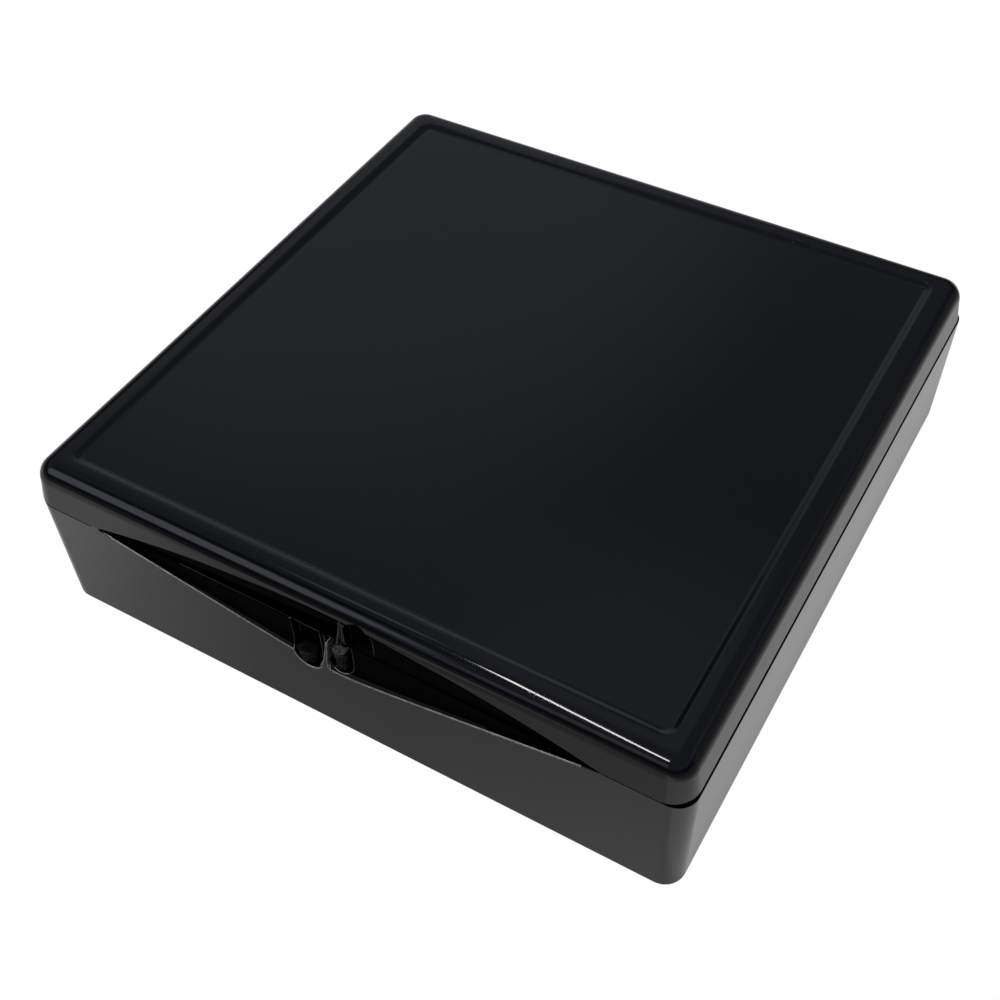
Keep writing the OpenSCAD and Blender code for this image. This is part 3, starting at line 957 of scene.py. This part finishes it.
def inflate(pad, pin_radius, cap):
    """Swells a pad's cover by cloth simulation and caps how far any point moves."""
    start = [v.co.copy() for v in pad.data.vertices]
    group = pad.vertex_groups.new(name="seam")
    for v in pad.data.vertices:
        near = abs(math.hypot(v.co.x, v.co.y) - pin_radius) < 0.5 * MM and v.co.z > PUFF_SEAM_Z - 0.3 * MM
        if near:
            group.add([v.index], 1.0, "REPLACE")
    cloth = pad.modifiers.new("cloth", "CLOTH")
    cloth.settings.quality = 6
    cloth.settings.mass = 0.15
    cloth.settings.tension_stiffness = 12
    cloth.settings.compression_stiffness = 6
    cloth.settings.bending_stiffness = 0.4
    cloth.settings.use_pressure = True
    cloth.settings.uniform_pressure_force = 3.0
    cloth.settings.effector_weights.gravity = 0.0
    cloth.settings.vertex_group_mass = "seam"
    cloth.collision_settings.use_collision = False
    for step in range(1, 19):
        bpy.context.scene.frame_set(step)
    bake(pad)
    bpy.context.scene.frame_set(1)
    for v, rest in zip(pad.data.vertices, start):
        move = v.co - rest
        if move.length > cap:
            v.co = rest + move.normalized() * cap
    return pad


def pucker(pad):
    """Gathers the cover round the sewn edge and keeps the pad in its room."""
    for v in pad.data.vertices:
        radius = math.hypot(v.co.x, v.co.y)
        turn = math.atan2(v.co.y, v.co.x)
        ring = math.exp(-((radius - (PUFF_R - 2.2 * MM)) / (1.7 * MM)) ** 2)
        top = min(1.0, max(0.0, (v.co.z - FACE_LO.z - 2 * MM) / (3 * MM)))
        folds = noise.noise(Vector((math.cos(turn) * 9, math.sin(turn) * 9, 0))) \
            + 0.6 * noise.noise(Vector((math.cos(turn) * 23, math.sin(turn) * 23, 3)))
        v.co.z -= 0.32 * MM * ring * top * (0.6 + folds)
        soft = noise.noise(v.co * 90.0)
        v.co.z += 0.22 * MM * soft * top
        limit = PUFF_R - 0.05 * MM
        if radius > limit:
            v.co.x *= limit / radius
            v.co.y *= limit / radius
        v.co.z = min(max(v.co.z, FACE_LO.z), BACK_HI.z + 0.1 * MM)
    return pad


def split_puff(pad):
    """Parts the pad's cover at its sewn edge into the velour side and the woven back."""
    back = pad.copy()
    back.data = pad.data.copy()
    bpy.context.scene.collection.objects.link(back)
    seam_r = PUFF_R - 2.1 * MM
    for obj, keep_back in ((pad, False), (back, True)):
        bm = bmesh.new()
        bm.from_mesh(obj.data)
        drop = []
        for face in bm.faces:
            c = face.calc_center_median()
            is_back = math.hypot(c.x, c.y) < seam_r and c.z > PUFF_SEAM_Z - 1.2 * MM and face.normal.z > 0
            if is_back != keep_back:
                drop.append(face)
        bmesh.ops.delete(bm, geom=drop, context="FACES")
        bm.to_mesh(obj.data)
        bm.free()
        skin = obj.modifiers.new("skin", "SOLIDIFY")
        skin.thickness = (0.25 if keep_back else 0.5) * MM
        skin.offset = -1.0
        bake(obj)
        smooth(obj, 70.0)
    pad.name = "puff_velour"
    back.name = "puff_satin"
    return pad, back


def puff_foam():
    """The foam inside the cover."""
    r = PUFF_R - 3.4 * MM
    low, high = FACE_LO.z + 1 * MM, PUFF_SEAM_Z - 0.4 * MM
    profile = [(0, low)]
    profile += [(r - 1 * MM + 1 * MM * math.sin(a), low + 1 * MM * (1 - math.cos(a))) for a in quarter(4)]
    profile += [(r - 1 * MM + 1 * MM * math.cos(a), high - 1 * MM + 1 * MM * math.sin(a)) for a in quarter(4)]
    profile.append((0, high))
    return smooth(lathe("puff_foam", profile, 96), 50.0)


BAND_WIDE = BAND_HI.y - BAND_LO.y
BAND_T = 0.24 * MM


def band_line(s):
    """The ribbon's middle line in X and Z, for s from -1 to 1: it arches, then dips into the sewn edge."""
    half = PUFF_R - 2 * MM
    top = BAND_HI.z - BAND_T - 0.12 * MM
    foot = PUFF_SEAM_Z - 0.7 * MM
    return half * s, foot + (top - foot) * (1 - abs(s) ** 3.2)


def line_length(curve, steps=200):
    points = [Vector(curve(2 * i / steps - 1)) for i in range(steps + 1)]
    return sum((b - a).length for a, b in zip(points, points[1:]))


BAND_LONG = line_length(band_line)


def puff_band():
    """The finger ribbon: arched over the back and gathered where it is sewn in, with raised selvedges."""
    steps, across = 72, 20
    bm = bmesh.new()
    layers = []
    for top in (0, 1):
        rows = []
        for i in range(steps + 1):
            s = 2 * i / steps - 1
            x, z = band_line(s)
            free = 1 - s * s
            gather = 1 - 0.22 * abs(s) ** 5
            row = []
            for j in range(across + 1):
                c = 2 * j / across - 1
                sag = -0.18 * MM * c * c * free + 0.05 * MM * math.sin(7 * s + 1.4 * c) * free
                folds = 0.12 * MM * abs(s) ** 4 * math.sin(9 * c)
                selvedge = 0.05 * MM if abs(c) > 0.88 else 0.0
                height = z + sag + folds + (BAND_T + selvedge) * top
                row.append(bm.verts.new((x, BAND_WIDE / 2 * c * gather, height)))
            rows.append(row)
        layers.append(rows)
    for rows in layers:
        for a, b in zip(rows, rows[1:]):
            for j in range(across):
                bm.faces.new((a[j], a[j + 1], b[j + 1], b[j]))
    low, high = layers
    for i in range(steps):
        for j in (0, across):
            bm.faces.new((low[i][j], low[i + 1][j], high[i + 1][j], high[i][j]))
    for j in range(across):
        for i in (0, steps):
            bm.faces.new((low[i][j], low[i][j + 1], high[i][j + 1], high[i][j]))
    return smooth(mesh_object("puff_band", bm), 50.0)


# ---------------------------------------------------------------- mirror
def mirror_plate():
    """Float glass with a ground chamfer round its face; material 0 is the silvering, 1 the ground edge."""
    side = MIRROR_HI.x - MIRROR_LO.x
    cut = 0.5 * MM
    rings = [rounded_ring(side - 2 * cut, side - 2 * cut, 1.2 * MM, MIRROR_LO.z),
             rounded_ring(side, side, 1.5 * MM, MIRROR_LO.z + cut * 0.6),
             rounded_ring(side, side, 1.5 * MM, MIRROR_HI.z - 0.15 * MM),
             rounded_ring(side - 0.3 * MM, side - 0.3 * MM, 1.4 * MM, MIRROR_HI.z)]
    plate = loft("mirror_plate", rings)
    paint(plate, SILVER, GROUND)
    for face in plate.data.polygons:
        face.material_index = 0 if abs(face.normal.z) > 0.99 else 1
    return smooth(plate, 20.0)


# ---------------------------------------------------------------- assembly
def show(piece, body, slot, *nodes):
    if nodes:
        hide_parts(*nodes)
    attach(piece, body)
    return piece


show(base_moulding(), "base", "case_plastic", "base_shell")
show(lid_moulding(), "lid", "case_plastic", "lid_shell")
STUB_Y = FRONT_Y + STUB_R + 0.06 * MM
base_stub = torn_stub("base_gate_stub", Vector((BASE_GATE[0] - 0.5 * MM, STUB_Y, 9.9 * MM)),
                      1.6 * MM, 0.8 * MM, 1.7, 0.45, 3, LEDGE)
show(base_stub, "base", "case_plastic")
lid_stub = torn_stub("lid_gate_stub", Vector((STUB_X, STUB_Y, STUB_Z[0])), STUB_Z[1] - STUB_Z[0], STUB_R,
                     1.0, 0.42, 8, TORN)
show(lid_stub, "lid", "case_plastic")
# The web takes the recess material: painted shade.
web = block("lid_gate_web", Vector((STUB_X - 0.1 * MM, STUB_Y + 0.3 * MM, STUB_Z[0] + 1 * MM)),
            Vector((STUB_X + 0.5 * MM, STUB_Y + STUB_R, SEAM_Z + 1 * MM)))
show(paint(web, RECESS_SHADE), "lid", "case_plastic")
show(paint(tray_moulding(), SATIN_STYRENE), "base", "tray_plastic", "inner_tray")
show(paint(pan_pressing(), ALUMINIUM), "base", "pan_aluminium", "powder_pan")
show(paint(powder_block(), POWDER), "base", "pressed_powder", "powder_cake")
show(paint(film_disc(), FILM), "base", "clear_film", "cover_film")
puff = puff_blank("puff_pad")
inflate(puff, PUFF_R - 2.1 * MM, 0.7 * MM)
refine = puff.modifiers.new("refine", "SUBSURF")
refine.levels = 1
pucker(bake(puff))
velour_side, satin_side = split_puff(puff)
show(paint(velour_side, VELOUR), "base", "velour", "puff_face")
show(paint(satin_side, SATIN), "base", "satin_cloth", "puff_back")
foam = show(paint(puff_foam(), FOAM), "base", "foam", "puff_core")
band = show(paint(puff_band(), RIBBON), "base", "satin_cloth", "puff_ribbon")
show(mirror_plate(), "lid", "mirror_glass", "mirror")
paint(frame["nodes"]["hinge_pin"], STEEL)
paint(frame["nodes"]["pan_adhesive"], PAD)
paint(frame["nodes"]["mirror_adhesive"], PAD)


# ---------------------------------------------------------------- stage, light and camera
# How bright the sheet looks in the gloss, by its place across the case: X in metres, radiance.
FLOOR_GLOW = ((-0.10, 0.38), (-0.065, 0.44), (-0.048, 0.56), (-0.03, 0.32), (-0.012, 0.22), (0.006, 0.23),
              (0.025, 0.30), (0.039, 0.36), (0.041, 0.53), (0.046, 0.53), (0.053, 0.56), (0.065, 0.42),
              (0.10, 0.15))


def pale_floor():
    """A round white sheet. The camera sees it evenly lit, and the gloss sees the levels of FLOOR_GLOW."""
    bm = bmesh.new()
    bmesh.ops.create_circle(bm, cap_ends=True, radius=0.6, segments=96)
    floor = mesh_object("floor", bm)
    s = Shader("pale_floor")
    paper = s.noise(900.0, 4.0, 0.6)
    s.set(Base_Color=s.mix(paper, (0.03, 0.03, 0.03, 1), (0.05, 0.05, 0.05, 1)), Roughness=0.9,
          Specular_IOR_Level=0.0)
    parts = s.node("ShaderNodeSeparateXYZ")
    s.link(s.place(), parts.inputs["Vector"])
    left, right = FLOOR_GLOW[0][0], FLOOR_GLOW[-1][0]
    ramp = s.node("ShaderNodeValToRGB")
    s.link(s.remap(parts.outputs["X"], left, right, 0.0, 1.0), ramp.inputs[0])
    fill_ramp(ramp.color_ramp, [((x - left) / (right - left), glow) for x, glow in FLOOR_GLOW])
    s.link(ramp.outputs["Color"], s.bsdf.inputs["Emission Color"])
    s.bsdf.inputs["Emission Strength"].default_value = 1.0
    bright = s.node("ShaderNodeEmission")
    bright.inputs["Strength"].default_value = 1.0
    seen = s.node("ShaderNodeLightPath")
    blend = s.node("ShaderNodeMixShader")
    s.link(seen.outputs["Is Camera Ray"], blend.inputs[0])
    s.link(s.bsdf.outputs[0], blend.inputs[1])
    s.link(bright.outputs[0], blend.inputs[2])
    s.link(blend.outputs[0], s.tree.nodes["Material Output"].inputs["Surface"])
    paint(floor, s.material)
    return floor


def fill_ramp(ramp, stops):
    """Gives a colour ramp its grey stops, as (position, level) pairs."""
    ramp.elements[0].position = stops[0][0]
    ramp.elements[1].position = stops[-1][0]
    for position, _ in stops[1:-1]:
        ramp.elements.new(position)
    for element, (_, level) in zip(ramp.elements, stops):
        element.color = (level, level, level, 1)


def direction(azimuth, elevation):
    """A unit vector. Azimuth 0 is the front, -Y, and grows towards +X, in degrees."""
    a, e = math.radians(azimuth), math.radians(elevation)
    return Vector((math.sin(a) * math.cos(e), -math.cos(a) * math.cos(e), math.sin(e)))


# How bright the room is by the sine of the elevation.
ROOM_RAMP = ((0.0, 0.09), (0.08, 0.12), (0.14, 0.10), (0.22, 0.04), (0.30, 0.012), (0.37, 0.02), (0.46, 0.07),
             (0.54, 0.13), (0.62, 0.125), (0.76, 0.115), (0.9, 0.115), (1.0, 0.13))

# Soft patches of the room round the case: azimuth, elevation, radius, soft edge, brightness.
ROOM_PATCHES = [
    (-46, 39, 11, 5, 0.72),
    (-16, 36, 5, 5, 0.30),
    (-68, 58, 4, 6, -0.09),
    (-50, 64, 3, 5, -0.07),
    (-122, 62, 2, 3, 0.50),
    (-150, 64, 6, 12, 0.05),
    (-159, 58, 3, 8, 0.05),
    (-142, 34, 6, 14, 0.12),
    (130, 20, 10, 10, 0.08),
    (-150, 8, 14, 12, 0.16),
]


def room():
    """A dim ceiling, darker at eye level, with soft patches, for the gloss. The camera sees plain white."""
    world = bpy.data.worlds.new("room")
    bpy.context.scene.world = world
    s = Shader("room", world)
    look = s.node("ShaderNodeTexCoord").outputs["Generated"]
    parts = s.node("ShaderNodeSeparateXYZ")
    s.link(look, parts.inputs[0])
    height = s.node("ShaderNodeValToRGB")
    s.link(parts.outputs["Z"], height.inputs[0])
    fill_ramp(height.color_ramp, ROOM_RAMP)
    total = height.outputs["Color"]
    for azimuth, elevation, radius, soft, level in ROOM_PATCHES:
        dot = s.node("ShaderNodeVectorMath", operation="DOT_PRODUCT")
        dot.inputs[1].default_value = direction(azimuth, elevation)
        s.link(look, dot.inputs[0])
        outer, inner = math.cos(math.radians(radius + soft)), math.cos(math.radians(radius))
        edge = s.remap(dot.outputs["Value"], outer, inner, 0.0, 1.0, "SMOOTHSTEP")
        total = s.math("ADD", total, s.math("MULTIPLY", edge, level))
    seen = s.node("ShaderNodeLightPath").outputs["Is Camera Ray"]
    backdrop = s.node("ShaderNodeMix", data_type="FLOAT")
    s.link(seen, backdrop.inputs[0])
    s.link(total, backdrop.inputs[2])
    backdrop.inputs[3].default_value = 1.0
    light = s.tree.nodes["Background"]
    s.link(backdrop.outputs[0], light.inputs["Strength"])
    s.link(s.mix(seen, (0.93, 0.99, 1.10, 1), (1, 1, 1, 1)), light.inputs["Color"])


def area_light(name, shape, size, energy, place):
    light = bpy.data.lights.new(name, "AREA")
    light.shape = shape
    light.size = size
    light.energy = energy
    lamp = bpy.data.objects.new(name, light)
    bpy.context.scene.collection.objects.link(lamp)
    lamp.location = place
    lamp.rotation_mode = "QUATERNION"
    return lamp


def tube_lamp():
    """A long lamp overhead, a little to the left: the bright streak along the front edge."""
    lamp = area_light("tube_lamp", "RECTANGLE", 0.035, 1.14, (-0.2234, -0.3395, 1.0))
    lamp.data.size_y = 0.533
    aim = (-lamp.location).normalized()
    along = Vector((0.27, -0.963, 0.0))
    side = aim.cross(along).normalized()
    up = side.cross(aim).normalized()
    lamp.rotation_quaternion = Matrix((side, up, -aim)).transposed().to_quaternion()


def soft_fill():
    """A broad soft light for the powder and the puff. The gloss doesn't mirror it."""
    lamp = area_light("soft_fill", "DISK", 0.7, 9.0, (-0.25, -0.35, 0.8))
    lamp.rotation_quaternion = (-lamp.location).to_track_quat("-Z", "Y")
    lamp.visible_glossy = False


def camera():
    lens = bpy.data.cameras.new("camera")
    lens.lens = 50.24
    lens.sensor_width = 36.0
    lens.clip_start, lens.clip_end = 0.005, 10.0
    eye = bpy.data.objects.new("camera", lens)
    bpy.context.scene.collection.objects.link(eye)
    eye.location = (0.058642, -0.102775, 0.131019)
    aim = Vector((0.007953, -0.019195, 0.0214))
    roll = math.radians(-1.5155)
    level = (aim - eye.location).to_track_quat("-Z", "Y")
    eye.rotation_mode = "QUATERNION"
    eye.rotation_quaternion = level @ Matrix.Rotation(roll, 3, "Z").to_quaternion()
    bpy.context.scene.camera = eye


pale_floor()
room()
tube_lamp()
soft_fill()
camera()
bpy.context.scene.view_settings.view_transform = "Standard"
